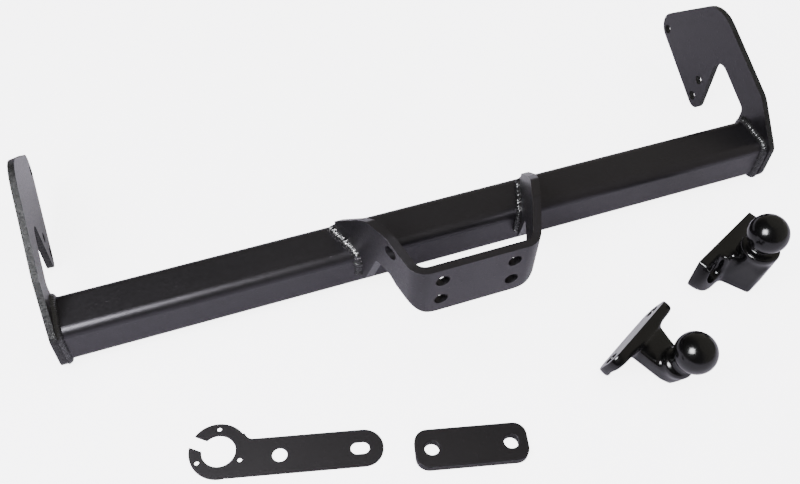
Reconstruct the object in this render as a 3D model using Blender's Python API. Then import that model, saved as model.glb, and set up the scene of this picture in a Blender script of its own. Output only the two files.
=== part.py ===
"""Flange-type tow bar kit: a welded cross tube with hooked side arms and a ball bracket, two bolt-on tow balls,
a trailer-socket plate and a spacer plate, laid out on one level surface.

X runs along the cross tube, -Y points out of the bracket's ball face, +Z is up. The origin is the centre of the
ball face's four holes. Sizes below are millimetres and degrees; meshes and places are written in metres.
"""

import math

import bmesh
import bpy
from mathutils import Matrix, Vector

MM = 0.001
GAP = 0.3

# The level that everything stands on, and the tube's axis
FLOOR = -91.0
TUBE_Y = 126.0
TUBE_Z = -54.5

# Cross tube
SPAN = 943.4
TUBE = 60.0
WALL = 5.0
TUBE_RADIUS = 12.0

# Side arms
ARM_PLATE = 8.0
ARM_HOLE = 13.0
ARM_HOLES = ((360.0, -25.5), (261.0, -44.5), (262.0, -76.0))
ARM_CORNERS = (
    (88.0, FLOOR, 26.0),
    (88.0, -23.5, 12.0),
    (138.4, 26.9, 30.0),
    (272.5, 84.0, 51.0),
    (390.9, -22.6, 22.0),
    (241.5, -100.6, 15.0),
    (241.5, 20.4, 17.0),
    (162.0, -13.8, 10.0),
    (162.0, FLOOR, 12.0),
)

# Ball bracket: a plate bent to a U whose legs splay towards the tube
BRACKET_PLATE = 10.0
BEND_RADIUS = 25.0
FACE_TOP = 38.5
FACE_BOTTOM = -40.5
LEG_SPREAD = 113.6
SPREAD_SLOPE = 0.386
LEG_BACK = 152.0
HOLE_PITCH = 90.0
HOLE_RISE = 35.0
BOLT_HOLE = 17.0
LEG_HOLE = 18.0
LEG_HOLE_PLACE = (44.0, 36.0)
SADDLE = TUBE_Y - TUBE / 2 - GAP
SEAT = TUBE_Z + TUBE / 2 + GAP
LEG_CORNERS = (
    (150.0, SEAT, 0.0),
    (140.0, -9.0, 0.0),
    (140.0, -4.0, 0.0),
    (100.0, 38.5, 14.0),
    (84.0, 51.0, 12.0),
    (54.0, 54.5, 16.0),
    (14.0, FACE_TOP, 30.0),
    (-5.0, FACE_TOP, 0.0),
    (-5.0, FACE_BOTTOM, 0.0),
    (15.0, FACE_BOTTOM, 4.0),
    (27.0, -18.5, 20.0),
    (43.0, -4.5, 14.0),
    (66.0, -1.5, 6.0),
    (85.0, -60.5, 1.0),
    (SADDLE, -60.5, 1.0),
    (SADDLE, SEAT, TUBE_RADIUS + GAP),
)
FACE_CUT = (
    (42.0, FACE_BOTTOM, 0.0),
    (66.0, FACE_BOTTOM, 40.0),
    (94.0, -8.0, 0.0),
    (94.0, -50.0, 0.0),
    (42.0, -50.0, 0.0),
)
FACE_CUT_DEPTH = 32.0

# Welds
WELD_LEG = 5.0
WELD_BACK = 146.0
WELD_BOTTOM = -60.0

# Tow balls
BALL = 50.0
BALL_FLAT = 8.0
NECK = 29.0
FLANGE_HEIGHT = 50.0
COLLAR_DEPTH = 20.0
POCKET_RADIUS = 14.8
STANDARD_PLACE = (343.5, -11.0)
STANDARD_YAW = 25.0
STANDARD_FLANGE = 25.0
STANDARD_OUT = 45.5
STANDARD_RISE = 95.0
STANDARD_COLLAR = 71.0
STANDARD_WALL = 14.0
STANDARD_BOLT_HEIGHT = 33.0
LONG_PLACE = (164.5, -87.2)
LONG_YAW = 28.5
LONG_TIP = 18.0
LONG_FLANGE = 14.0
LONG_OUT = 58.0
LONG_RISE = 87.0
LONG_COLLAR = 54.0
LONG_WALL = 11.0
LONG_BOLT_HEIGHT = 25.0

# Socket plate, measured from its bolt hole
SOCKET_PLACE = (-269.7, -94.1)
SOCKET_YAW = -13.8
SOCKET_PLATE = 3.0
SOCKET_ARM = 22.0
SLOT_END = 89.5
SLOT_LENGTH = 21.5
SLOT_WIDTH = 15.0
RING_PLACE = (-67.5, 10.5)
RING_OUTER = 33.0
RING_INNER = 19.0
RING_SCREWS = 26.5
RING_SCREW_HOLE = 5.5
RING_SCREW_ANGLES = (88.0, -28.0, 207.0)
CABLE_GAP = 14.5
CABLE_GAP_ANGLE = 155.0

# Spacer plate
SPACER_PLACE = (-64.5, -155.6)
SPACER_YAW = -13.8
SPACER_SIZE = (128.0, 46.0, 10.0)
SPACER_RADIUS = 15.0

COLOURS = {
    "powder_coat": ((0.012, 0.012, 0.014), 0.42, 0.0),
    "weld_metal": ((0.045, 0.043, 0.042), 0.38, 0.6),
    "gloss_enamel": ((0.006, 0.006, 0.007), 0.12, 0.0),
    "plate_coat": ((0.015, 0.015, 0.016), 0.55, 0.0),
}


def clear_scene():
    for thing in list(bpy.data.objects):
        bpy.data.objects.remove(thing)


def make_materials():
    made = {}
    for name, (colour, roughness, metallic) in COLOURS.items():
        material = bpy.data.materials.new(name)
        material.use_nodes = True
        shader = material.node_tree.nodes["Principled BSDF"]
        shader.inputs["Base Color"].default_value = (*colour, 1.0)
        shader.inputs["Roughness"].default_value = roughness
        shader.inputs["Metallic"].default_value = metallic
        made[name] = material
    return made


def rounded(corners, step=15.0):
    """A closed outline through (a, b, radius) corners, each one rounded by an arc."""
    outline = []
    for index, (a, b, radius) in enumerate(corners):
        here = Vector((a, b))
        if radius == 0:
            outline.append(here)
            continue
        before = (Vector(corners[index - 1][:2]) - here).normalized()
        after = (Vector(corners[(index + 1) % len(corners)][:2]) - here).normalized()
        half = math.acos(before.dot(after)) / 2
        centre = here + (before + after).normalized() * (radius / math.sin(half))
        start = here + before * (radius / math.tan(half)) - centre
        sweep = math.pi - 2 * half
        if before.x * after.y - before.y * after.x > 0:
            sweep = -sweep
        steps = max(2, round(abs(math.degrees(sweep)) / step))
        for k in range(steps + 1):
            outline.append(centre + Matrix.Rotation(sweep * k / steps, 2) @ start)
    return outline


def circle(a, b, radius, count=32):
    turns = (2 * math.pi * k / count for k in range(count))
    return [Vector((a + radius * math.cos(turn), b + radius * math.sin(turn))) for turn in turns]


def on_axis(axis, point, level):
    """The outline point (a, b) at a level along X, Y or Z, in metres."""
    a, b = point
    places = {"X": (level, a, b), "Y": (a, level, b), "Z": (a, b, level)}
    return Vector(places[axis]) * MM


def finish(name, bm, material=None):
    """An object from a closed bmesh, with its faces turned outwards."""
    bmesh.ops.recalc_face_normals(bm, faces=bm.faces)
    mesh = bpy.data.meshes.new(name)
    bm.to_mesh(mesh)
    bm.free()
    mesh.shade_smooth()
    mesh.set_sharp_from_angle(angle=math.radians(30))
    thing = bpy.data.objects.new(name, mesh)
    bpy.context.scene.collection.objects.link(thing)
    if material:
        mesh.materials.append(material)
    return thing


def prism(name, outline, axis, low, high, material=None):
    """The outline carried along an axis from one level to another."""
    bm = bmesh.new()
    rings = [[bm.verts.new(on_axis(axis, point, level)) for point in outline] for level in (low, high)]
    for ring in rings:
        bm.faces.new(ring)
    for k in range(len(outline)):
        bm.faces.new((rings[0][k - 1], rings[0][k], rings[1][k], rings[1][k - 1]))
    return finish(name, bm, material)


def loops_solid(name, loops, material, closed):
    """Sections of equal length joined in order, closed on themselves or capped at both ends."""
    bm = bmesh.new()
    rings = [[bm.verts.new(Vector(point) * MM) for point in loop] for loop in loops]
    last = len(rings) if closed else len(rings) - 1
    for i in range(last):
        one, two = rings[i], rings[(i + 1) % len(rings)]
        for k in range(len(one)):
            bm.faces.new((one[k - 1], one[k], two[k], two[k - 1]))
    if not closed:
        bm.faces.new(rings[0])
        bm.faces.new(rings[-1])
    return finish(name, bm, material)


def hull(name, points):
    """The convex solid round a set of points."""
    bm = bmesh.new()
    for point in points:
        bm.verts.new(Vector(point) * MM)
    made = bmesh.ops.convex_hull(bm, input=list(bm.verts))
    spare = {part for part in made["geom_interior"] + made["geom_unused"] if isinstance(part, bmesh.types.BMVert)}
    bmesh.ops.delete(bm, geom=list(spare), context="VERTS")
    return finish(name, bm)


def turned(name, profile, out, count=40):
    """A profile of (radius, height) pairs, starting and ending on the axis, turned about Z at y = -out."""
    bm = bmesh.new()
    foot = bm.verts.new(Vector((0, -out, profile[0][1])) * MM)
    head = bm.verts.new(Vector((0, -out, profile[-1][1])) * MM)
    rings = []
    for radius, height in profile[1:-1]:
        ring = circle(0, -out, radius, count)
        rings.append([bm.verts.new(Vector((a, b, height)) * MM) for a, b in ring])
    for k in range(count):
        bm.faces.new((foot, rings[0][k], rings[0][k - 1]))
        bm.faces.new((head, rings[-1][k - 1], rings[-1][k]))
        for one, two in zip(rings, rings[1:]):
            bm.faces.new((one[k - 1], one[k], two[k], two[k - 1]))
    return finish(name, bm)


def combine(thing, other, operation):
    """A Boolean with a helper, which stays in the scene as a hidden guide."""
    change = thing.modifiers.new(other.name, "BOOLEAN")
    change.operation = operation
    change.solver = "EXACT"
    change.object = other
    other.hide_render = True
    other.display_type = "WIRE"


def cut_holes(thing, axis, places, diameter, low, high):
    for index, (a, b) in enumerate(places):
        cutter = prism(f"{thing.name}_hole_{index}", circle(a, b, diameter / 2), axis, low, high)
        cutter.parent = thing.parent
        combine(thing, cutter, "DIFFERENCE")


def anchor(name, place, yaw, tip=0.0, height=0.0):
    """An empty that a loose piece lies on: turned about Z, and tipped about its own X first."""
    empty = bpy.data.objects.new(name, None)
    empty.location = Vector((*place, FLOOR + height)) * MM
    empty.rotation_euler = (math.radians(tip), 0, math.radians(yaw))
    bpy.context.scene.collection.objects.link(empty)
    return empty


def tube_section(growth):
    """The tube's outside in Y and Z, grown outwards by some millimetres."""
    half = TUBE / 2 + growth
    radius = TUBE_RADIUS + growth
    low_y, high_y = TUBE_Y - half, TUBE_Y + half
    low_z, high_z = TUBE_Z - half, TUBE_Z + half
    corners = ((low_y, low_z), (high_y, low_z), (high_y, high_z), (low_y, high_z))
    return rounded([(a, b, radius) for a, b in corners])


def make_cross_tube(material):
    half = SPAN / 2 - GAP
    tube = prism("cross_tube", tube_section(0), "X", -half, half, material)
    bore = prism("cross_tube_bore", tube_section(-WALL), "X", -half - 5, half + 5)
    combine(tube, bore, "DIFFERENCE")


def make_side_arm(name, side, material):
    inner = side * SPAN / 2
    outer = side * (SPAN / 2 + ARM_PLATE)
    low, high = sorted((inner, outer))
    arm = prism(name, rounded(ARM_CORNERS, 12.0), "X", low, high, material)
    cut_holes(arm, "X", ARM_HOLES, ARM_HOLE, low - 5, high + 5)


def make_arm_weld(name, side, material):
    """A fillet that runs once round the tube where it meets the arm."""
    wall = side * (SPAN / 2 - GAP)
    toe = side * (SPAN / 2 - GAP - WELD_LEG)
    sections = []
    for level, growth in ((wall, GAP), (wall, GAP + WELD_LEG), (toe, GAP)):
        sections.append([(level, a, b) for a, b in tube_section(growth)])
    loops_solid(name, sections, material, closed=True)


def leg_plane(y):
    """The half width of the bracket's outside at a distance y behind the ball face."""
    return LEG_SPREAD + SPREAD_SLOPE * (y - SADDLE)


def leg_thickness():
    """The plate's thickness measured along X, across a splayed leg."""
    return BRACKET_PLATE * math.hypot(1, SPREAD_SLOPE)


def bracket_plan():
    """The bent plate seen from above: the outside with its bends, then back along the inside."""
    back = leg_plane(LEG_BACK)
    front = leg_plane(0)
    inner_front = leg_plane(BRACKET_PLATE) - leg_thickness()
    inner_back = back - leg_thickness()
    inner_radius = BEND_RADIUS - BRACKET_PLATE
    return rounded(
        [
            (-back, LEG_BACK, 0),
            (-front, 0, BEND_RADIUS),
            (front, 0, BEND_RADIUS),
            (back, LEG_BACK, 0),
            (inner_back, LEG_BACK, 0),
            (inner_front, BRACKET_PLATE, inner_radius),
            (-inner_front, BRACKET_PLATE, inner_radius),
            (-inner_back, LEG_BACK, 0),
        ],
        10.0,
    )


def make_ball_bracket(material):
    reach = leg_plane(LEG_BACK) + 10
    bracket = prism("ball_bracket", bracket_plan(), "Z", -70, 60, material)
    profile = prism("ball_bracket_profile", rounded(LEG_CORNERS, 12.0), "X", -reach, reach)
    combine(bracket, profile, "INTERSECT")
    for side in (-1, 1):
        outline = [(side * a, b) for a, b in rounded(FACE_CUT, 6.0)]
        corner = prism(f"ball_bracket_corner_{side}", outline, "Y", -5, FACE_CUT_DEPTH)
        combine(bracket, corner, "DIFFERENCE")
    face_holes = [(a * HOLE_PITCH / 2, b * HOLE_RISE / 2) for a in (-1, 1) for b in (-1, 1)]
    cut_holes(bracket, "Y", face_holes, BOLT_HOLE, -5, BRACKET_PLATE + 5)
    cut_holes(bracket, "X", [LEG_HOLE_PLACE], LEG_HOLE, -reach, 0)


def make_leg_weld(name, side, outer, material):
    """A fillet over the tube's top and down its front, along one face of one leg."""
    away = side if outer else -side
    inset = 0 if outer else leg_thickness()
    inner_line = weld_path(GAP)
    outer_line = weld_path(GAP + WELD_LEG)
    sections = []
    for near, far in zip(inner_line, outer_line):
        root = side * (leg_plane(near[0]) - inset) + away * GAP
        rise = side * (leg_plane(far[0]) - inset) + away * GAP
        sections.append([(root, *near), (rise, *far), (root + away * WELD_LEG, *near)])
    loops_solid(name, sections, material, closed=False)


def weld_path(growth):
    """(y, z) points along the tube's top, round its front corner and down its front, outside it by the growth."""
    radius = TUBE_RADIUS + growth
    top = TUBE_Z + TUBE / 2 + growth
    front = TUBE_Y - TUBE / 2 - growth
    path = [(WELD_BACK - 4 * k, top) for k in range(10)]
    centre = (front + radius, top - radius)
    for k in range(7):
        turn = math.radians(90 + 15 * k)
        path.append((centre[0] + radius * math.cos(turn), centre[1] + radius * math.sin(turn)))
    run = centre[1] - WELD_BOTTOM
    path += [(front, centre[1] - run * k / 5) for k in range(1, 6)]
    return path


def ball_profile(centre, collar, collar_top, foot):
    """A tow ball's turned outline: foot, collar, shoulder, neck, ball and its flat top."""
    radius = BALL / 2
    join = -math.acos(NECK / BALL)
    crown = math.acos(BALL_FLAT / radius)
    neck_foot = collar_top + 2.5
    profile = [(0, foot), (collar - 4, foot), (collar, collar_top - 7), (collar, collar_top - 2)]
    profile += [(collar - 2, collar_top), (NECK / 2 + 3, collar_top), (NECK / 2, neck_foot)]
    for k in range(19):
        turn = join + (crown - join) * k / 18
        profile.append((radius * math.cos(turn), centre + radius * math.sin(turn)))
    return profile + [(0, centre + radius * math.sin(crown))]


def make_flange(name, corners, thickness, front_radius, material):
    """The flange: its outline in X and Z, with the upright corners of its front rounded."""
    flange = prism(name, rounded(corners), "Y", -thickness, 0, material)
    end = max(corner[0] for corner in corners)
    plan = [(-end, -thickness, front_radius), (end, -thickness, front_radius), (end, 5, 0), (-end, 5, 0)]
    front = prism(f"{name}_front", rounded(plan), "Z", -5, FLANGE_HEIGHT + 5)
    combine(flange, front, "INTERSECT")
    return flange, front


def pocket_outline(centre_x, centre_z, open_top):
    """A round recess for a bolt head, or a U that is open towards the top."""
    if not open_top:
        return circle(centre_x, centre_z, POCKET_RADIUS, 40)
    outline = []
    for k in range(21):
        turn = math.pi + math.pi * k / 20
        outline.append((centre_x + POCKET_RADIUS * math.cos(turn), centre_z + POCKET_RADIUS * math.sin(turn)))
    clear = FLANGE_HEIGHT + 40
    return outline + [(centre_x + POCKET_RADIUS, clear), (centre_x - POCKET_RADIUS, clear)]


def finish_tow_ball(ball, helpers, rest, wall, bolt_height, open_top):
    """Joins the helpers to the flange, then cuts the bolt-head pockets down to the wall, and the bolt holes."""
    ball.parent = rest
    for helper in helpers:
        helper.parent = rest
        combine(ball, helper, "UNION")
    places = [(side * HOLE_PITCH / 2, bolt_height) for side in (-1, 1)]
    for index, (a, b) in enumerate(places):
        pocket = prism(f"{ball.name}_pocket_{index}", pocket_outline(a, b, open_top), "Y", -90, -wall)
        pocket.parent = rest
        combine(ball, pocket, "DIFFERENCE")
    cut_holes(ball, "Y", places, BOLT_HOLE, -90, 5)


def both_sides(points):
    return [(side * a, b, c) for side in (-1, 1) for a, b, c in points]


def make_standard_tow_ball(material):
    """A short, stout forging that stands on its flange and its body."""
    name = "standard_tow_ball"
    rest = anchor(f"{name}_rest", STANDARD_PLACE, STANDARD_YAW)
    corners = ((-70, 0, 14), (70, 0, 14), (60, FLANGE_HEIGHT, 4), (-60, FLANGE_HEIGHT, 4))
    ball, front = make_flange(name, corners, STANDARD_FLANGE, STANDARD_FLANGE - 1, material)
    front.parent = rest
    lower = [(27, -20, 0), (16, -62, 0), (18, -64, 42), (20, -20, 50)]
    upper = [(13, -68, 54), (24, -46, 58), (14, -28, 58)]
    body = hull(f"{name}_body", both_sides(lower + upper))
    profile = ball_profile(STANDARD_RISE, 24.5, STANDARD_COLLAR, STANDARD_COLLAR - COLLAR_DEPTH)
    head = turned(f"{name}_head", profile, STANDARD_OUT)
    finish_tow_ball(ball, (body, head), rest, STANDARD_WALL, STANDARD_BOLT_HEIGHT, True)


def make_long_neck_tow_ball(material):
    """A slimmer forging, tipped forward so that it rests on its flange's edge and its body's nose."""
    name = "long_neck_tow_ball"
    lift = LONG_FLANGE * math.sin(math.radians(LONG_TIP))
    rest = anchor(f"{name}_rest", LONG_PLACE, LONG_YAW, LONG_TIP, lift)
    signs = ((-1, 0), (1, 0), (1, 1), (-1, 1))
    corners = [(a * 61, b * FLANGE_HEIGHT, 18) for a, b in signs]
    ball, front = make_flange(name, corners, LONG_FLANGE, 5, material)
    front.parent = rest
    root = [(26, -9, 24), (25, -9, 46), (17, -58, 21), (19, -50, 44)]
    nose = [(10, -72, 19), (13, -74, 41)]
    body = hull(f"{name}_body", both_sides(root + nose))
    profile = ball_profile(LONG_RISE, 20, LONG_COLLAR, LONG_COLLAR - COLLAR_DEPTH)
    head = turned(f"{name}_head", profile, LONG_OUT)
    finish_tow_ball(ball, (body, head), rest, LONG_WALL, LONG_BOLT_HEIGHT, False)


def ring_point(radius, angle):
    turn = math.radians(angle)
    return (RING_PLACE[0] + radius * math.cos(turn), RING_PLACE[1] + radius * math.sin(turn))


def make_socket_plate(material):
    rest = anchor("socket_plate_rest", SOCKET_PLACE, SOCKET_YAW)
    end = SLOT_END + 4.5 + SOCKET_ARM
    end_radius = SOCKET_ARM - 0.05
    arm = [(-60, -SOCKET_ARM, 0), (end, -SOCKET_ARM, end_radius), (end, SOCKET_ARM, end_radius)]
    arm += [(-34, SOCKET_ARM, 9), (-39, 30, 0), (-60, 10, 0)]
    plate = prism("socket_plate", rounded(arm, 12.0), "Z", 0, SOCKET_PLATE, material)
    plate.parent = rest
    disc = prism("socket_plate_disc", circle(*RING_PLACE, RING_OUTER, 48), "Z", 0, SOCKET_PLATE)
    hole = prism("socket_plate_opening", circle(*RING_PLACE, RING_INNER, 48), "Z", -5, 10)
    turn = math.radians(CABLE_GAP_ANGLE)
    along = Vector((math.cos(turn), math.sin(turn)))
    across = Vector((-along.y, along.x)) * CABLE_GAP / 2
    middle = Vector(RING_PLACE)
    outline = [middle + across, middle - across, middle + along * 50 - across, middle + along * 50 + across]
    gap = prism("socket_plate_gap", outline, "Z", -5, 10)
    signs = ((1, -1), (1, 1), (-1, 1), (-1, -1))
    ends = [(SLOT_END + a * SLOT_LENGTH / 2, b * SLOT_WIDTH / 2, SLOT_WIDTH / 2 - 0.05) for a, b in signs]
    slot = prism("socket_plate_slot", rounded(ends), "Z", -5, 10)
    for helper, operation in ((disc, "UNION"), (hole, "DIFFERENCE"), (gap, "DIFFERENCE"), (slot, "DIFFERENCE")):
        helper.parent = rest
        combine(plate, helper, operation)
    screws = [ring_point(RING_SCREWS, angle) for angle in RING_SCREW_ANGLES]
    cut_holes(plate, "Z", screws, RING_SCREW_HOLE, -5, 10)
    bolt = prism("socket_plate_bolt_hole", circle(0, 0, BOLT_HOLE / 2), "Z", -5, 10)
    bolt.parent = rest
    combine(plate, bolt, "DIFFERENCE")


def make_spacer_plate(material):
    rest = anchor("spacer_plate_rest", SPACER_PLACE, SPACER_YAW)
    length, width, thickness = SPACER_SIZE
    signs = ((-1, -1), (1, -1), (1, 1), (-1, 1))
    corners = [(a * length / 2, b * width / 2, SPACER_RADIUS) for a, b in signs]
    plate = prism("spacer_plate", rounded(corners, 12.0), "Z", 0, thickness, material)
    plate.parent = rest
    cut_holes(plate, "Z", ((-HOLE_PITCH / 2, 0), (HOLE_PITCH / 2, 0)), BOLT_HOLE, -5, thickness + 5)


def main():
    clear_scene()
    materials = make_materials()
    coat = materials["powder_coat"]
    weld = materials["weld_metal"]
    make_cross_tube(coat)
    make_ball_bracket(coat)
    for name, side in (("left", -1), ("right", 1)):
        make_side_arm(f"{name}_side_arm", side, coat)
        make_arm_weld(f"{name}_arm_weld", side, weld)
        make_leg_weld(f"{name}_leg_outer_weld", side, True, weld)
        make_leg_weld(f"{name}_leg_inner_weld", side, False, weld)
    make_standard_tow_ball(materials["gloss_enamel"])
    make_long_neck_tow_ball(materials["gloss_enamel"])
    make_socket_plate(materials["plate_coat"])
    make_spacer_plate(materials["plate_coat"])


main()
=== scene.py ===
"""Looks of the flange tow bar kit: coated plates with rounded edges, rippled welds, gloss-black tow balls,
a pale studio floor, soft lights and the camera. Metres, in the CAD model's own frame."""

import math

import bmesh
import bpy
import numpy as np
from mathutils import Matrix, Vector, noise


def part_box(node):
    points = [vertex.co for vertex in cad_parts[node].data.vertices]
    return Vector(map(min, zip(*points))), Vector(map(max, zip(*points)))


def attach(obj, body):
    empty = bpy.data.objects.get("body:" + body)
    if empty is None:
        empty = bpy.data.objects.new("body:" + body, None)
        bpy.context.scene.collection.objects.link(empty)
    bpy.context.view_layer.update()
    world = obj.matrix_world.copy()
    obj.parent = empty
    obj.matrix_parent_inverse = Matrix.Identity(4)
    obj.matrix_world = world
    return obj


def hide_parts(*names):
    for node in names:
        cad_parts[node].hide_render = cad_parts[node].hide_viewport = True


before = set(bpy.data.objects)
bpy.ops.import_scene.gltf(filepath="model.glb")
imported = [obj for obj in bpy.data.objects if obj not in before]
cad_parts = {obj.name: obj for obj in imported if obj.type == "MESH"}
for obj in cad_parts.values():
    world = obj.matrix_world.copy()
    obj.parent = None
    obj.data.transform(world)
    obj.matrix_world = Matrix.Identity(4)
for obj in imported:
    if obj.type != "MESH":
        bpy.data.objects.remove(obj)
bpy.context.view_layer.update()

MM = 0.001

# Driving dimensions that the frame doesn't name, in millimetres and degrees
GAP = 0.3
TUBE_RADIUS = 12.0
LEG_SPREAD = 113.6
SPREAD_SLOPE = 0.386
BRACKET_PLATE = 10.0
WELD_BACK = 146.0
WELD_BOTTOM = -60.0

# Tow balls, in millimetres and degrees. Each has a frame of its own at place on the floor, turned by yaw and
# tipped by tip. There the flange's back is y = 0 and its foot z = 0. Its thickness is flange, its holes are bolt
# high, and the ball's centre is out before its back and rise above its foot. The ears are rounded ahead of
# ear_back and below ear_top, for ear_rounds rounds.
BALL_RADIUS = 25.0
NECK_RADIUS = 14.5
CROWN_RADIUS = 8.0
BOLT_OUT = 45.0
BALLS = {
    "standard": {
        "place": (343.5, -11.0),
        "yaw": 25.0,
        "tip": 0.0,
        "flange": 25.0,
        "out": 45.5,
        "rise": 95.0,
        "bolt": 33.0,
        "ear_back": 8.0,
        "ear_top": 22.0,
        "ear_rounds": 90,
    },
    "long_neck": {
        "place": (164.5, -87.2),
        "yaw": 28.5,
        "tip": 18.0,
        "flange": 14.0,
        "out": 58.0,
        "rise": 87.0,
        "bolt": 25.0,
        "ear_back": -4.0,
        "ear_top": 70.0,
        "ear_rounds": 45,
    },
}
NECK_JOIN = -math.acos(NECK_RADIUS / BALL_RADIUS)
BALL_CROWN = math.acos(CROWN_RADIUS / BALL_RADIUS)

# Forging skin: voxel size, rounds of smoothing, and how much an outer edge or the back face moves in each
FORGING_VOXEL = 0.9 * MM
FILLET_ROUNDS = 160
FILLET_CONVEX = 0.06
FINISH_ROUNDS = 26
FINISH_ON_FACE = 0.3
RELAX_STEP = 0.6
NORMALS_EVERY = 10

# Forging zones, in millimetres and radians: the flat back face, the pocket round each bolt, how far the head
# reaches below the ball's centre, where the ears start, the ring kept round their holes, and the points that
# belong to the ball
FACE_DEPTH = 1.5
POCKET_REACH = 17.0
POCKET_FRONT = 3.0
HEAD_DROP = 32.0
EAR_START = 27.0
EAR_HOLE = 12.0
BALL_BAND = 0.9
NECK_MARGIN = 0.06
CROWN_MARGIN = 0.04

# Plates: how far from flat an edge is sharp, and the cuts that round it
SHARP_ANGLE = math.radians(28)
FLAT_ANGLE = math.radians(1.0)
ROUND_SEGMENTS = 3

# Weld beads: the width along each surface, the crown over it, the ripples' pitch, and how uneven the bead is
ARM_BEAD = {"width": 6.2 * MM, "crown": 1.6 * MM, "pitch": 3.0 * MM, "lump": 0.15}
LEG_BEAD = {"width": 6.2 * MM, "crown": 2.2 * MM, "pitch": 3.4 * MM, "lump": 0.4}
WELD_STEP = 0.5 * MM
WELD_SINK = 0.1 * MM
BEAD_SINK = 0.3 * MM
BEAD_CUTS = 10
SPOTTED_DEPTH = 8.0 * MM
FIRST_SEED = 1.7
SEED_STEP = 3.1

# Flame-cut edges: the drag lines' noise is drawn out across the plate
DRAG_STRETCH = (0.12, 1, 1)
# Painted reflection: a violet tint on the coats' specular colour, standing in for the violet cast of the studio
# light
PAINTED_VIOLET_REFLECTION_TINT = (0.96, 0.91, 1.0, 1.0)

# Camera, in metres, millimetres of lens and degrees
CAMERA_PLACE = (-0.3217, -0.5411, 0.8552)
CAMERA_LENS = 40.92
CAMERA_YAW = 22.257
CAMERA_PITCH = 51.813
CAMERA_ROLL = 2.960

# Studio: the floor's size and drop below the object, what the camera sees of floor and walls, and the paper
FLOOR_SIZE = 40.0
FLOOR_DROP = 0.2 * MM
FLOOR_GLOW = 5.0
WALL_GLOW = 5.8
PAPER_STOPS = ((0.3, (0.85, 0.82, 0.94)), (0.7, (0.88, 0.85, 0.97)))

# The room's colour by the X part of the direction, from the left wall to the right wall
ROOM_LEFT = -0.35
ROOM_RIGHT = 0.65
ROOM_STOPS = (
    (0.0, (0.06, 0.058, 0.052)),
    (0.25, (0.10, 0.096, 0.084)),
    (0.6, (0.40, 0.385, 0.33)),
    (1.0, (0.52, 0.50, 0.43)),
)

tube_low, tube_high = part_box("cross_tube")
floor_level = min(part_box(name)[0].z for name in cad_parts)


# ---------------------------------------------------------------- materials


def new_material(name):
    material = bpy.data.materials.new(name)
    material.use_nodes = True
    tree = material.node_tree
    return material, tree, tree.nodes["Principled BSDF"]


def object_noise(tree, scale, detail=2.0, roughness=0.5, stretch=(1.0, 1.0, 1.0)):
    """Noise fixed to the object, with a scale in cycles per metre."""
    place = tree.nodes.new("ShaderNodeTexCoord")
    mapping = tree.nodes.new("ShaderNodeMapping")
    mapping.inputs["Scale"].default_value = stretch
    texture = tree.nodes.new("ShaderNodeTexNoise")
    texture.inputs["Scale"].default_value = scale
    texture.inputs["Detail"].default_value = detail
    texture.inputs["Roughness"].default_value = roughness
    tree.links.new(place.outputs["Object"], mapping.inputs["Vector"])
    tree.links.new(mapping.outputs["Vector"], texture.inputs["Vector"])
    return texture.outputs["Fac"]


def ramp(tree, source, stops):
    """A colour ramp through (position, colour) stops."""
    node = tree.nodes.new("ShaderNodeValToRGB")
    elements = node.color_ramp.elements
    while len(elements) < len(stops):
        elements.new(0.5)
    for element, (position, colour) in zip(elements, stops):
        element.position = position
        element.color = (*colour, 1.0)
    tree.links.new(source, node.inputs["Fac"])
    return node.outputs["Color"]


def remap(tree, source, low, high, to_low, to_high):
    """The source's stretch from low to high moved onto to_low to to_high, and held at its ends."""
    node = tree.nodes.new("ShaderNodeMapRange")
    for key, value in (("From Min", low), ("From Max", high), ("To Min", to_low), ("To Max", to_high)):
        node.inputs[key].default_value = value
    tree.links.new(source, node.inputs["Value"])
    return node.outputs["Result"]


def bump(tree, height, strength, distance, below=None):
    """A bumped normal from a height, over another bump's normal where one is given."""
    node = tree.nodes.new("ShaderNodeBump")
    node.inputs["Strength"].default_value = strength
    node.inputs["Distance"].default_value = distance
    tree.links.new(height, node.inputs["Height"])
    if below:
        tree.links.new(below, node.inputs["Normal"])
    return node.outputs["Normal"]


def coat_material(name, dark, light, rough, peel, specular):
    """Satin powder coat: orange peel, slow drifts in colour and gloss, a few dust nibs, and a painted violet
    tint on its reflections.
    """
    material, tree, shader = new_material(name)
    drift = object_noise(tree, 7.0, 3.0)
    grain = object_noise(tree, 420.0, 2.0)
    peel_height = object_noise(tree, 650.0, 1.0)
    nibs = remap(tree, object_noise(tree, 260.0, 0.0), 0.74, 0.80, 0.0, 1.0)
    colour = ramp(tree, drift, ((0.3, dark), (0.7, light)))
    tree.links.new(colour, shader.inputs["Base Color"])
    tree.links.new(remap(tree, grain, 0.3, 0.7, rough - 0.05, rough + 0.06), shader.inputs["Roughness"])
    skin = bump(tree, peel_height, peel, 0.00012)
    tree.links.new(bump(tree, nibs, 0.35, 0.00025, skin), shader.inputs["Normal"])
    shader.inputs["Specular IOR Level"].default_value = specular
    # Painted reflection: this violet tint on what the coat reflects stands in for violet light
    shader.inputs["Specular Tint"].default_value = PAINTED_VIOLET_REFLECTION_TINT
    return material


def cut_edge_material(name, dark, light, rough):
    """Coat over a flame-cut edge: fine drag lines across the plate, and grains that catch the light."""
    material, tree, shader = new_material(name)
    lines = object_noise(tree, 420.0, 3.0, 0.6, DRAG_STRETCH)
    grains = object_noise(tree, 360.0, 3.0, 0.7)
    drift = object_noise(tree, 30.0, 2.0)
    tree.links.new(ramp(tree, drift, ((0.3, dark), (0.7, light))), shader.inputs["Base Color"])
    tree.links.new(remap(tree, grains, 0.3, 0.7, rough - 0.1, rough + 0.12), shader.inputs["Roughness"])
    drag = bump(tree, lines, 0.8, 0.0012)
    tree.links.new(bump(tree, grains, 1.0, 0.0014, drag), shader.inputs["Normal"])
    shader.inputs["Specular IOR Level"].default_value = 0.3
    return material


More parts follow.
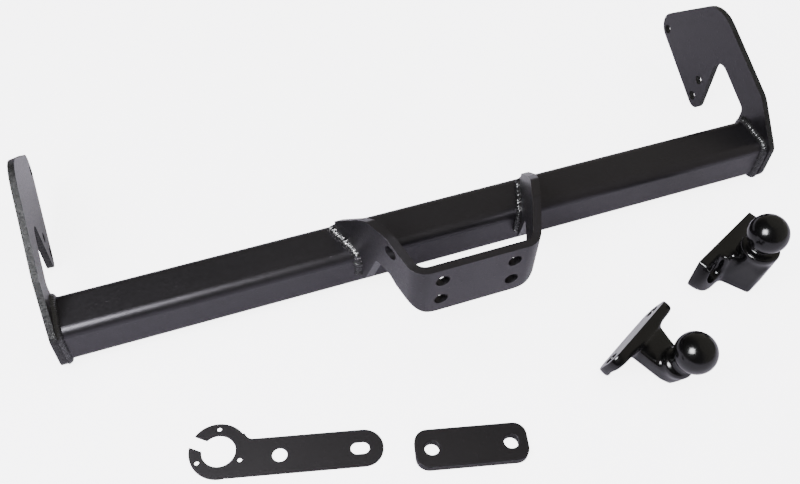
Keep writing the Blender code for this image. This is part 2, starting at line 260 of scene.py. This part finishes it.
def weld_material(name, bright_share):
    """Black coat over weld metal, with bare bright spots on the ripples' crests."""
    material, tree, shader = new_material(name)
    patches = object_noise(tree, 330.0, 3.0, 0.65)
    edge = 0.76 - bright_share
    spots = remap(tree, patches, edge, edge + 0.06, 0.0, 1.0)
    tint = ramp(tree, spots, ((0.0, (0.012, 0.012, 0.013)), (1.0, (0.46, 0.45, 0.44))))
    tree.links.new(tint, shader.inputs["Base Color"])
    tree.links.new(spots, shader.inputs["Metallic"])
    rough = remap(tree, object_noise(tree, 700.0, 2.0), 0.3, 0.7, 0.22, 0.42)
    tree.links.new(rough, shader.inputs["Roughness"])
    tree.links.new(bump(tree, object_noise(tree, 900.0, 3.0), 0.5, 0.0003), shader.inputs["Normal"])
    return material


def enamel_material(name):
    """Gloss enamel over a forging: a faint hammered unevenness under a hard clear surface."""
    material, tree, shader = new_material(name)
    drift = object_noise(tree, 12.0, 3.0)
    colour = ramp(tree, drift, ((0.3, (0.0028, 0.0028, 0.0032)), (0.7, (0.0045, 0.0044, 0.0046))))
    tree.links.new(colour, shader.inputs["Base Color"])
    gloss = remap(tree, object_noise(tree, 90.0, 2.0), 0.3, 0.7, 0.15, 0.21)
    tree.links.new(gloss, shader.inputs["Roughness"])
    waves = bump(tree, object_noise(tree, 70.0, 2.0), 0.12, 0.0005)
    tree.links.new(bump(tree, object_noise(tree, 600.0, 2.0), 0.06, 0.0001, waves), shader.inputs["Normal"])
    shader.inputs["Specular IOR Level"].default_value = 0.36
    return material


# ---------------------------------------------------------------- pieces


def paint_faces(mesh, is_second):
    """Gives the second material to the faces whose centre passes the test."""
    for polygon in mesh.polygons:
        if is_second(polygon.center):
            polygon.material_index = 1


def add_piece(name, mesh, materials, node, body):
    """A mesh as a piece that stands for a CAD node and rides on its body."""
    mesh.name = name
    piece = bpy.data.objects.new(name, mesh)
    bpy.context.scene.collection.objects.link(piece)
    for material in materials:
        mesh.materials.append(material)
    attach(piece, body)
    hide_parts(node)
    return piece


def node_bmesh(node):
    """A CAD node's mesh with its split corners joined and its flat triangles merged into whole faces."""
    bm = bmesh.new()
    bm.from_mesh(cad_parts[node].data)
    bmesh.ops.remove_doubles(bm, verts=bm.verts, dist=0.01 * MM)
    bmesh.ops.dissolve_limit(
        bm, angle_limit=FLAT_ANGLE, verts=bm.verts, edges=bm.edges, use_dissolve_boundaries=False
    )
    return bm


def rounded_plate(name, node, body, materials, edge, is_cut_edge=None):
    """A CAD plate with its sharp edges rounded by edge millimetres. Faces whose normal passes is_cut_edge
    take the second material."""
    bm = node_bmesh(node)
    sharp = [e for e in bm.edges if len(e.link_faces) == 2 and e.calc_face_angle() > SHARP_ANGLE]
    bmesh.ops.bevel(
        bm,
        geom=sharp,
        offset=edge * MM,
        segments=ROUND_SEGMENTS,
        profile=0.5,
        affect="EDGES",
        clamp_overlap=True,
    )
    bmesh.ops.recalc_face_normals(bm, faces=bm.faces)
    for face in bm.faces:
        face.smooth = True
        if is_cut_edge and is_cut_edge(face.normal):
            face.material_index = 1
    mesh = bpy.data.meshes.new(name)
    bm.to_mesh(mesh)
    bm.free()
    piece = add_piece(name, mesh, materials, node, body)
    weighted = piece.modifiers.new("weighted_normals", "WEIGHTED_NORMAL")
    weighted.mode = "FACE_AREA"
    weighted.weight = 80
    return piece


# ---------------------------------------------------------------- welds


def leg_plane(y):
    """Half width of the bracket's outside, at a distance behind its ball face, in metres."""
    saddle = tube_low.y - GAP * MM
    return LEG_SPREAD * MM + SPREAD_SLOPE * (y - saddle)


def walk(points, step):
    """Points at even steps along a polyline, each with its unit direction."""
    walked = []
    for start, end in zip(points, points[1:]):
        count = max(1, round((end - start).length / step))
        walked += [(start.lerp(end, k / count), (end - start).normalized()) for k in range(count)]
    walked.append((points[-1], (points[-1] - points[-2]).normalized()))
    return walked


def tube_outline(count=12):
    """The tube's outline in (y, z), anticlockwise seen from +X, closed by repeating its first point."""
    radius = TUBE_RADIUS * MM
    centres = (
        (tube_high.y - radius, tube_high.z - radius, 0),
        (tube_low.y + radius, tube_high.z - radius, 90),
        (tube_low.y + radius, tube_low.z + radius, 180),
        (tube_high.y - radius, tube_low.z + radius, 270),
    )
    outline = []
    for y, z, turn in centres:
        for k in range(count + 1):
            angle = math.radians(turn + 90 * k / count)
            outline.append(Vector((y + radius * math.cos(angle), z + radius * math.sin(angle))))
    return outline + [outline[0]]


def leg_outline(count=12):
    """The part of the tube's outline that a leg is welded along, in (y, z): top, front corner and front."""
    radius = TUBE_RADIUS * MM
    y, z = tube_low.y + radius, tube_high.z - radius
    outline = [Vector((WELD_BACK * MM, tube_high.z))]
    for k in range(count + 1):
        angle = math.radians(90 + 90 * k / count)
        outline.append(Vector((y + radius * math.cos(angle), z + radius * math.sin(angle))))
    return outline + [Vector((tube_low.y, WELD_BOTTOM * MM))]


def bead_ring(station, run, seed, width, crown, pitch, lump):
    """The points of one cut across a bead, run metres from its start. The ripples are crescents, and the
    bead swells and shrinks by the share lump."""
    root, one, two = station
    swell = 1 + lump * noise.noise(Vector((run * 140, seed, 0.3)))
    one_leg = width * swell * (1 + 0.6 * lump * noise.noise(Vector((run * 320, seed, 5.1))))
    two_leg = width * swell * (1 + 0.6 * lump * noise.noise(Vector((run * 320, seed, 9.7))))
    out = (one + two).normalized()
    ring = [root - out * BEAD_SINK]
    for k in range(BEAD_CUTS + 1):
        t = k / BEAD_CUTS
        arch = math.sin(math.pi * t)
        phase = run / pitch - 0.55 * arch + 0.25 * noise.noise(Vector((run * 90, seed, 2.0)))
        ripple = 0.5 - 0.5 * math.cos(2 * math.pi * (phase % 1.0) ** 0.7)
        rise = crown * arch * swell * (0.72 + 0.28 * ripple)
        rough = 0.12 * MM * arch * noise.noise(Vector((run * 1500, seed + t * 4, 7.0)))
        ring.append(root + one * one_leg * (1 - t) + two * two_leg * t + out * (rise + rough))
    return ring


def bead_mesh(stations, seed, closed, width, crown, pitch, lump):
    """A weld bead. Each station is (root, one, two): a point of the corner, and the directions along the two
    surfaces that the bead joins. An open bead starts flat and has capped ends."""
    bm = bmesh.new()
    rings = []
    run = 0.0
    last = stations[0][0]
    for station in stations:
        run += (station[0] - last).length
        last = station[0]
        height = crown if closed or rings else 0.0
        ring = bead_ring(station, run, seed, width, height, pitch, lump)
        rings.append([bm.verts.new(point) for point in ring])
    pairs = list(zip(rings, rings[1:]))
    if closed:
        pairs.append((rings[-1], rings[0]))
    for a, b in pairs:
        for k in range(len(a)):
            bm.faces.new((a[k - 1], a[k], b[k], b[k - 1]))
    if not closed:
        bm.faces.new(rings[0])
        bm.faces.new(rings[-1])
    bmesh.ops.recalc_face_normals(bm, faces=bm.faces)
    mesh = bpy.data.meshes.new("bead")
    bm.to_mesh(mesh)
    bm.free()
    mesh.shade_smooth()
    mesh.set_sharp_from_angle(angle=math.radians(60))
    return mesh


def arm_weld_stations(side):
    """Corners along the tube's outline where it meets an arm."""
    face = side * (tube_high.x + GAP * MM)
    walked = walk(tube_outline(), WELD_STEP)
    stations = []
    for point, direction in walked[:-1]:
        outward = Vector((0, direction.y, -direction.x))
        root = Vector((face, point.x, point.y)) - outward * WELD_SINK
        stations.append((root, Vector((-side, 0, 0)), outward))
    return stations


def leg_weld_stations(side, outer):
    """Corners along the tube where it meets one face of one splayed leg."""
    away = side if outer else -side
    inset = 0 if outer else BRACKET_PLATE * MM * math.hypot(1, SPREAD_SLOPE)
    stations = []
    for point, direction in walk(leg_outline(), WELD_STEP):
        outward = Vector((0, -direction.y, direction.x))
        if outward.z < 0 or outward.y > 0:
            outward = -outward
        up_leg = Vector((side * SPREAD_SLOPE * outward.y, outward.y, outward.z)).normalized()
        root = Vector((side * (leg_plane(point.x) - inset), point.x, point.y)) - outward * WELD_SINK
        stations.append((root, up_leg, Vector((away, 0, 0))))
    return stations


# ---------------------------------------------------------------- tow balls


def remeshed(name, mesh, voxel):
    """The mesh rebuilt as even quads by a voxel remesh."""
    helper = bpy.data.objects.new(f"{name}_helper", mesh)
    bpy.context.scene.collection.objects.link(helper)
    change = helper.modifiers.new("voxels", "REMESH")
    change.mode = "VOXEL"
    change.voxel_size = voxel
    change.adaptivity = 0.0
    bpy.context.view_layer.update()
    made = bpy.data.meshes.new_from_object(helper.evaluated_get(bpy.context.evaluated_depsgraph_get()))
    bpy.data.objects.remove(helper)
    made.name = name
    return made


def mesh_points(mesh):
    points = np.empty(len(mesh.vertices) * 3)
    mesh.vertices.foreach_get("co", points)
    return points.reshape(-1, 3)


def set_mesh_points(mesh, points):
    mesh.vertices.foreach_set("co", points.astype(np.float32).reshape(-1))
    mesh.update()


def mesh_normals(mesh):
    normals = np.empty(len(mesh.vertices) * 3, np.float32)
    mesh.vertices.foreach_get("normal", normals)
    return normals.reshape(-1, 3).astype(float)


def relax(mesh, rounds, weight, convex):
    """Moves each point towards the middle of its neighbours: fully where the surface is hollow, and by the
    share convex where it bulges, so that inner corners fill while outer edges keep their shape."""
    ends = np.empty(len(mesh.edges) * 2, np.int32)
    mesh.edges.foreach_get("vertices", ends)
    ends = ends.reshape(-1, 2)
    points = mesh_points(mesh)
    count = np.bincount(ends.ravel(), minlength=len(points))[:, None]
    for index in range(rounds):
        if index % NORMALS_EVERY == 0:
            set_mesh_points(mesh, points)
            normals = mesh_normals(mesh)
        total = np.zeros_like(points)
        for axis in range(3):
            total[:, axis] = np.bincount(ends[:, 0], points[ends[:, 1], axis], len(points))
            total[:, axis] += np.bincount(ends[:, 1], points[ends[:, 0], axis], len(points))
        shift = total / count - points
        hollow = (shift * normals).sum(1) > 0
        share = np.where(hollow, 1.0, convex)[:, None] * weight[:, None]
        points += RELAX_STEP * shift * share
    set_mesh_points(mesh, points)
    return points


def rest_frame(facts):
    """Where a tow ball's own frame lies when its flange's front edge is on the floor."""
    height = facts["flange"] * math.sin(math.radians(facts["tip"])) * MM
    place = (facts["place"][0] * MM, facts["place"][1] * MM, floor_level + height)
    yaw = Matrix.Rotation(math.radians(facts["yaw"]), 4, "Z")
    tip = Matrix.Rotation(math.radians(facts["tip"]), 4, "X")
    return Matrix.Translation(place) @ yaw @ tip


def forging_source(node, rest):
    """The CAD solid's mesh as triangles in the tow ball's own frame."""
    bm = node_bmesh(node)
    bmesh.ops.triangulate(bm, faces=bm.faces)
    bm.transform(rest.inverted())
    source = bpy.data.meshes.new(f"{node}_source")
    bm.to_mesh(source)
    bm.free()
    return source


def fade(values, start, length):
    """0 up to start and 1 from length further on, with the last two in millimetres."""
    return np.clip((values / MM - start) / length, 0, 1)


def bolt_distance(points, facts):
    """How far each point is from the axis of the nearer bolt hole."""
    return np.hypot(np.abs(points[:, 0]) - BOLT_OUT * MM, points[:, 2] - facts["bolt"] * MM)


def fillet_weights(points, facts):
    """1 where inner corners may fill, and 0 on the back face, in the bolt pockets and on the head."""
    in_pocket = bolt_distance(points, facts) < POCKET_REACH * MM
    in_pocket &= points[:, 1] > -(facts["flange"] + POCKET_FRONT) * MM
    on_head = points[:, 2] > (facts["rise"] - HEAD_DROP) * MM
    return np.where((points[:, 1] > -FACE_DEPTH * MM) | in_pocket | on_head, 0.0, 1.0)


def ear_weights(points, facts):
    """How freely each point of the flange's ears is rounded: not at all at the body or round the holes."""
    weights = fade(np.abs(points[:, 0]), EAR_START, 5)
    weights *= fade(-points[:, 1], facts["ear_back"], 3)
    weights *= fade(-points[:, 2], -facts["ear_top"], 5)
    return weights * fade(bolt_distance(points, facts), EAR_HOLE, 4)


def true_ball(points, facts):
    """Puts the points of the ball, between its neck and its flat crown, exactly on the sphere."""
    centre = np.array((0, -facts["out"], facts["rise"])) * MM
    away = points - centre
    reach = np.linalg.norm(away, axis=1)
    slope = np.arcsin(np.clip(away[:, 2] / np.maximum(reach, 1e-9), -1, 1))
    ball = np.abs(reach - BALL_RADIUS * MM) < BALL_BAND * MM
    ball &= (slope > NECK_JOIN + NECK_MARGIN) & (slope < BALL_CROWN - CROWN_MARGIN)
    points[ball] = centre + away[ball] * (BALL_RADIUS * MM / reach[ball])[:, None]
    return points


def make_tow_ball(kind, material):
    """A forging from its CAD solid: filled inner corners, rounded ears, softened edges and a true ball."""
    facts = BALLS[kind]
    node = f"{kind}_tow_ball"
    rest = rest_frame(facts)
    mesh = remeshed(f"{node}_forging", forging_source(node, rest), FORGING_VOXEL)
    points = mesh_points(mesh)
    near_face = points[:, 1] > -FACE_DEPTH * MM
    on_ears = ear_weights(points, facts)
    relax(mesh, FILLET_ROUNDS, fillet_weights(points, facts), FILLET_CONVEX)
    depth = mesh_points(mesh)[near_face, 1]
    points = relax(mesh, facts["ear_rounds"], on_ears, 1.0)
    points[near_face, 1] = depth
    set_mesh_points(mesh, points)
    points = relax(mesh, FINISH_ROUNDS, np.where(near_face, FINISH_ON_FACE, 1.0), 1.0)
    points = true_ball(points, facts)
    points = np.c_[points, np.ones(len(points))] @ np.array(rest).T
    set_mesh_points(mesh, points[:, :3])
    mesh.shade_smooth()
    add_piece(f"{node}_forging", mesh, [material], node, f"{kind}_ball")


# ---------------------------------------------------------------- studio


def area_light(name, place, target, size, power, colour, glossy=True, diffuse=True, roll=0.0):
    """A soft box at a place, aimed at a target and rolled about its own axis by some degrees."""
    data = bpy.data.lights.new(name, "AREA")
    data.shape = "RECTANGLE"
    data.size, data.size_y = size
    data.energy = power
    data.color = colour
    lamp = bpy.data.objects.new(name, data)
    bpy.context.scene.collection.objects.link(lamp)
    facing = (Vector(target) - Vector(place)).to_track_quat("-Z", "Y").to_matrix().to_4x4()
    lamp.matrix_world = Matrix.Translation(place) @ facing @ Matrix.Rotation(math.radians(roll), 4, "Z")
    lamp.visible_glossy = glossy
    lamp.visible_diffuse = diffuse
    lamp.visible_camera = False


def make_floor():
    """A pale paper floor just under the object. Its own glow is seen by the camera and lights nothing."""
    bm = bmesh.new()
    bmesh.ops.create_grid(bm, x_segments=8, y_segments=8, size=FLOOR_SIZE / 2)
    mesh = bpy.data.meshes.new("studio_floor")
    bm.to_mesh(mesh)
    bm.free()
    floor = bpy.data.objects.new("studio_floor", mesh)
    floor.location = (0, 0, floor_level - FLOOR_DROP)
    bpy.context.scene.collection.objects.link(floor)
    material, tree, shader = new_material("studio_paper")
    paper = ramp(tree, object_noise(tree, 0.6, 2.0), PAPER_STOPS)
    tree.links.new(paper, shader.inputs["Base Color"])
    shader.inputs["Roughness"].default_value = 0.9
    shader.inputs["Specular IOR Level"].default_value = 0.1
    shader.inputs["Emission Color"].default_value = (1.0, 1.0, 1.0, 1.0)
    path = tree.nodes.new("ShaderNodeLightPath")
    seen = remap(tree, path.outputs["Is Camera Ray"], 0.0, 1.0, 0.0, FLOOR_GLOW)
    tree.links.new(seen, shader.inputs["Emission Strength"])
    mesh.materials.append(material)


def make_world():
    """White where the camera sees it, and for what the coats reflect a dim warm room, lighter towards +X."""
    world = bpy.data.worlds.new("studio")
    bpy.context.scene.world = world
    world.use_nodes = True
    tree = world.node_tree
    room = tree.nodes["Background"]
    direction = tree.nodes.new("ShaderNodeTexCoord")
    split = tree.nodes.new("ShaderNodeSeparateXYZ")
    tree.links.new(direction.outputs["Generated"], split.inputs["Vector"])
    across = remap(tree, split.outputs["X"], ROOM_LEFT, ROOM_RIGHT, 0.0, 1.0)
    tree.links.new(ramp(tree, across, ROOM_STOPS), room.inputs["Color"])
    room.inputs["Strength"].default_value = 1.0
    white = tree.nodes.new("ShaderNodeBackground")
    white.inputs["Color"].default_value = (1.0, 1.0, 1.0, 1.0)
    white.inputs["Strength"].default_value = WALL_GLOW
    path = tree.nodes.new("ShaderNodeLightPath")
    mix = tree.nodes.new("ShaderNodeMixShader")
    tree.links.new(path.outputs["Is Camera Ray"], mix.inputs["Fac"])
    tree.links.new(room.outputs["Background"], mix.inputs[1])
    tree.links.new(white.outputs["Background"], mix.inputs[2])
    tree.links.new(mix.outputs["Shader"], tree.nodes["World Output"].inputs["Surface"])


def make_lights():
    """A soft box up on the left with its gleam just before it, a wide ceiling and a violet fill in front."""
    middle = (0.2, 0.0, 0.0)
    box_place = (-0.95, -0.25, 1.26)
    gleam_place = (-0.90, -0.24, 1.20)
    above = (0.1, 0.0, 3.0)
    front = (0.2, -2.2, 0.9)
    area_light("soft_box", box_place, middle, (0.72, 0.72), 16.0, (1.0, 0.99, 1.0), glossy=False)
    cool = (0.96, 0.97, 1.0)
    area_light("gleam", gleam_place, middle, (0.66, 0.66), 100.0, cool, diffuse=False, roll=38.0)
    area_light("ceiling", above, middle, (4.5, 4.5), 115.0, (1.0, 1.0, 1.0), glossy=False)
    area_light("front_fill", front, middle, (2.4, 1.0), 24.0, (0.88, 0.82, 1.0), glossy=False)


def make_camera():
    data = bpy.data.cameras.new("camera")
    data.lens = CAMERA_LENS
    data.sensor_width = 36.0
    data.clip_start = 0.01
    camera = bpy.data.objects.new("camera", data)
    bpy.context.scene.collection.objects.link(camera)
    turn = Matrix.Rotation(math.radians(-CAMERA_YAW), 4, "Z")
    tilt = Matrix.Rotation(math.radians(90 - CAMERA_PITCH), 4, "X")
    roll = Matrix.Rotation(math.radians(CAMERA_ROLL), 4, "Z")
    camera.matrix_world = Matrix.Translation(CAMERA_PLACE) @ turn @ tilt @ roll
    bpy.context.scene.camera = camera


def make_welds():
    """Beads round the tube at each arm, and along both faces of each leg, brightest in front."""
    weld = weld_material("weld_bead", 0.08)
    dark_weld = weld_material("dark_weld_bead", 0.03)
    spotted_weld = weld_material("spotted_weld_bead", 0.20)
    seed = FIRST_SEED
    for name, side in (("left", -1), ("right", 1)):
        seed += SEED_STEP
        mesh = bead_mesh(arm_weld_stations(side), seed, True, **ARM_BEAD)
        add_piece(f"{name}_arm_weld_bead", mesh, [dark_weld], f"{name}_arm_weld", "tow_bar")
        for place, top_weld in (("outer", spotted_weld), ("inner", weld)):
            seed += SEED_STEP
            mesh = bead_mesh(leg_weld_stations(side, place == "outer"), seed, False, **LEG_BEAD)
            paint_faces(mesh, lambda centre: centre.z < tube_high.z - SPOTTED_DEPTH)
            node = f"{name}_leg_{place}_weld"
            add_piece(f"{node}_bead", mesh, [top_weld, dark_weld], node, "tow_bar")


def on_plate_edge(normal):
    """True on the edge of a plate that stands across X."""
    return abs(normal.x) < 0.5


def main():
    # Painted light: the powder coat's slight violet cast stands in for the violet light that falls on it; its
    # near-black tone and drifts are its own
    coat = coat_material("powder_coat", (0.0058, 0.0054, 0.0062), (0.0088, 0.0083, 0.0094), 0.36, 0.3, 0.42)
    cut = cut_edge_material("flame_cut_edge", (0.003, 0.003, 0.0033), (0.010, 0.010, 0.0105), 0.46)
    enamel = enamel_material("gloss_enamel")
    plate = coat_material("plate_coat", (0.0055, 0.0050, 0.0047), (0.0085, 0.0078, 0.0074), 0.5, 0.35, 0.20)

    rounded_plate("cross_tube_skin", "cross_tube", "tow_bar", [coat], 0.8)
    rounded_plate("ball_bracket_skin", "ball_bracket", "tow_bar", [coat], 1.1)
    for name in ("left", "right"):
        node = f"{name}_side_arm"
        rounded_plate(f"{node}_skin", node, "tow_bar", [coat, cut], 0.9, on_plate_edge)
    make_welds()
    for kind in BALLS:
        make_tow_ball(kind, enamel)
    rounded_plate("socket_plate_skin", "socket_plate", "socket_mount", [plate], 0.5)
    rounded_plate("spacer_plate_skin", "spacer_plate", "spacer", [plate], 1.0)
    make_floor()
    make_world()
    make_lights()
    make_camera()


main()
